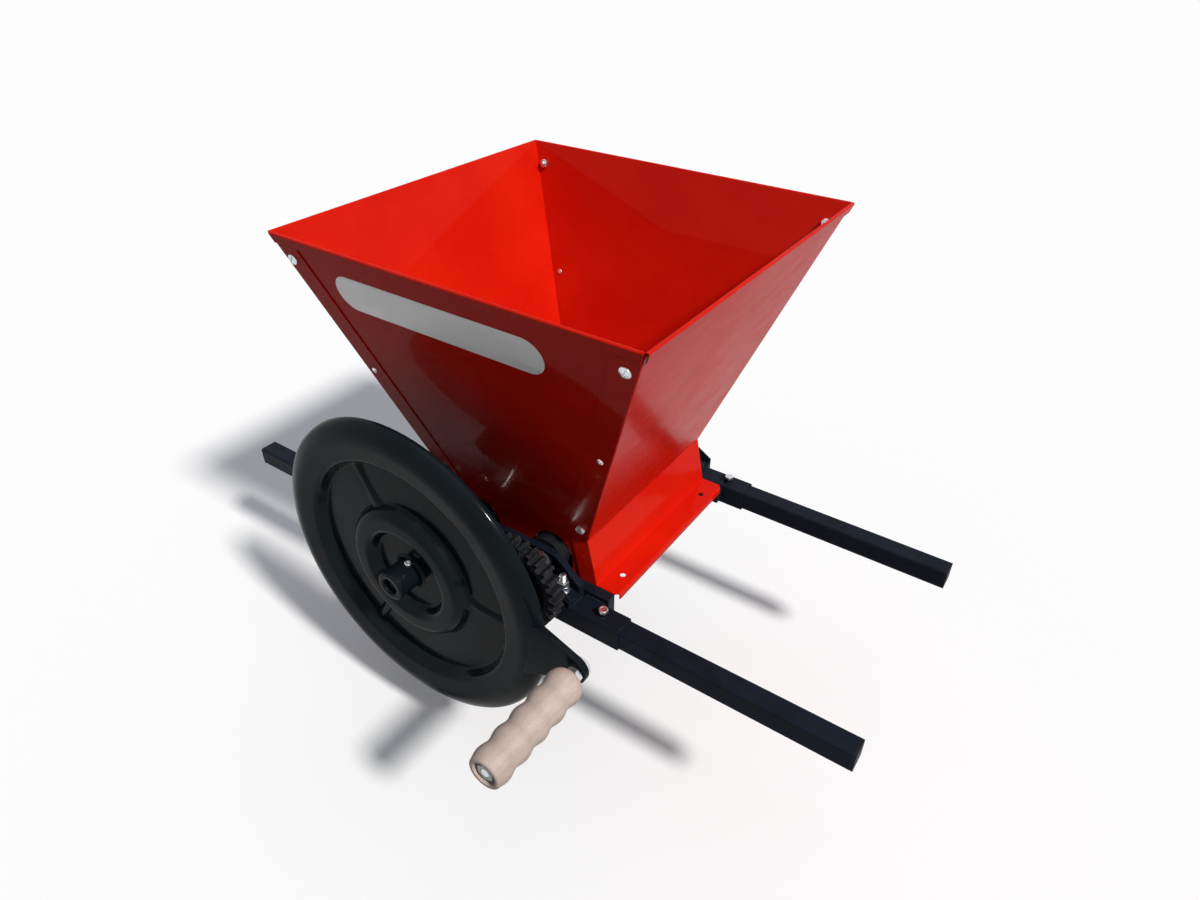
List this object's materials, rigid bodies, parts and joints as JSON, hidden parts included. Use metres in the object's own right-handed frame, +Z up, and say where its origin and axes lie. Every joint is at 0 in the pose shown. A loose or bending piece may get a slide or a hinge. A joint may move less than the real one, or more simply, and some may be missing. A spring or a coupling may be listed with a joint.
{
  "type": "grape crusher",
  "caption": "Hand-cranked grape crusher: square hopper over two geared, lobed rollers, flywheel with a turned grip, and rails with sliding arms that lie across a vat.",
  "frame": {"origin": "centre of the four holes in the bolting flange, on the flange's top face", "axes": "+X along the rails towards the right arms, +Y from the gear and flywheel side to the plain side, +Z up to the hopper's mouth"},
  "size_m": [0.876, 0.6049, 0.5366],
  "materials": {
    "red_sheet": "gloss",
    "black_steel": "satin",
    "black_casting": "gloss paint",
    "roller_casting": "as cast",
    "bare_steel": "turned",
    "zinc": "zinc plated",
    "rivet_aluminium": "plain",
    "cap_plastic": "moulded",
    "beech": "turned and clear lacquered"
  },
  "bodies": {
    "frame": {"bearing_bracket_back": "black_steel", "bearing_bracket_front": "black_steel", "bearing_bush_back_left": "black_casting", "bearing_bush_back_right": "black_casting", "bearing_bush_front_left": "black_casting", "bearing_bush_front_right": "black_casting", "body_back_plate": "red_sheet", "body_front_plate": "red_sheet", "body_left_side": "red_sheet", "body_right_side": "red_sheet", "body_screws": "zinc", "bracket_nuts": "zinc", "bracket_studs": "zinc", "bracket_washers": "zinc", "clamp_bolts": "zinc", "clamp_nuts": "zinc", "hopper_back_panel": "red_sheet", "hopper_bolt_nuts": "zinc", "hopper_bolts": "zinc", "hopper_front_panel": "red_sheet", "hopper_left_panel": "red_sheet", "hopper_right_panel": "red_sheet", "hopper_rivets": "rivet_aluminium", "hopper_screw_nuts": "zinc", "hopper_screws": "zinc", "seat_bar_back": "black_steel", "seat_bar_front": "black_steel", "socket_tube_back": "black_steel", "socket_tube_front": "black_steel"},
    "drive": {"flywheel": "black_casting", "wheel_set_screw": "bare_steel", "shaft_left": "bare_steel", "roller_left": "roller_casting", "roller_pins_left": "bare_steel", "gear_left": "black_casting", "gear_key_left": "bare_steel", "spacer_left": "bare_steel", "retaining_ring_back_left": "bare_steel", "crank_bolt": "zinc", "crank_jam_nut": "zinc", "grip_washer": "zinc", "grip_lock_nut": "zinc"},
    "driven": {"shaft_right": "bare_steel", "roller_right": "roller_casting", "roller_pins_right": "bare_steel", "gear_right": "black_casting", "gear_key_right": "bare_steel", "spacer_right": "bare_steel", "retaining_ring_back_right": "bare_steel", "retaining_ring_front_right": "bare_steel"},
    "grip": {"grip": "beech"},
    "arm_front_left": {"arm_front_left": "black_steel", "end_cap_front_left": "cap_plastic"},
    "arm_front_right": {"arm_front_right": "black_steel", "end_cap_front_right": "cap_plastic"},
    "arm_back_left": {"arm_back_left": "black_steel", "end_cap_back_left": "cap_plastic"},
    "arm_back_right": {"arm_back_right": "black_steel", "end_cap_back_right": "cap_plastic"}
  },
  "joints": [
    {"name": "drive_spin", "type": "hinge", "parent": "frame", "child": "drive", "pos_m": [-0.054, -0.1504, 0.023], "axis": [0, 1, 0], "continuous": true},
    {"name": "driven_spin", "type": "hinge", "parent": "frame", "child": "driven", "pos_m": [0.054, -0.1504, 0.023], "axis": [0, 1, 0], "continuous": true},
    {"name": "grip_spin", "type": "hinge", "parent": "drive", "child": "grip", "pos_m": [0.17817, -0.32375, 0.0153], "axis": [0, 1, 0], "continuous": true},
    {"name": "arm_front_left_slide", "type": "slide", "parent": "frame", "child": "arm_front_left", "axis": [-1, 0, 0], "range_m": [-0.085, 0.04]},
    {"name": "arm_front_right_slide", "type": "slide", "parent": "frame", "child": "arm_front_right", "axis": [1, 0, 0], "range_m": [-0.085, 0.04]},
    {"name": "arm_back_left_slide", "type": "slide", "parent": "frame", "child": "arm_back_left", "axis": [-1, 0, 0], "range_m": [-0.085, 0.04]},
    {"name": "arm_back_right_slide", "type": "slide", "parent": "frame", "child": "arm_back_right", "axis": [1, 0, 0], "range_m": [-0.085, 0.04]}
  ],
  "couplings": [
    {"joint": "driven_spin", "follows": "drive_spin", "ratio": -1}
  ]
}
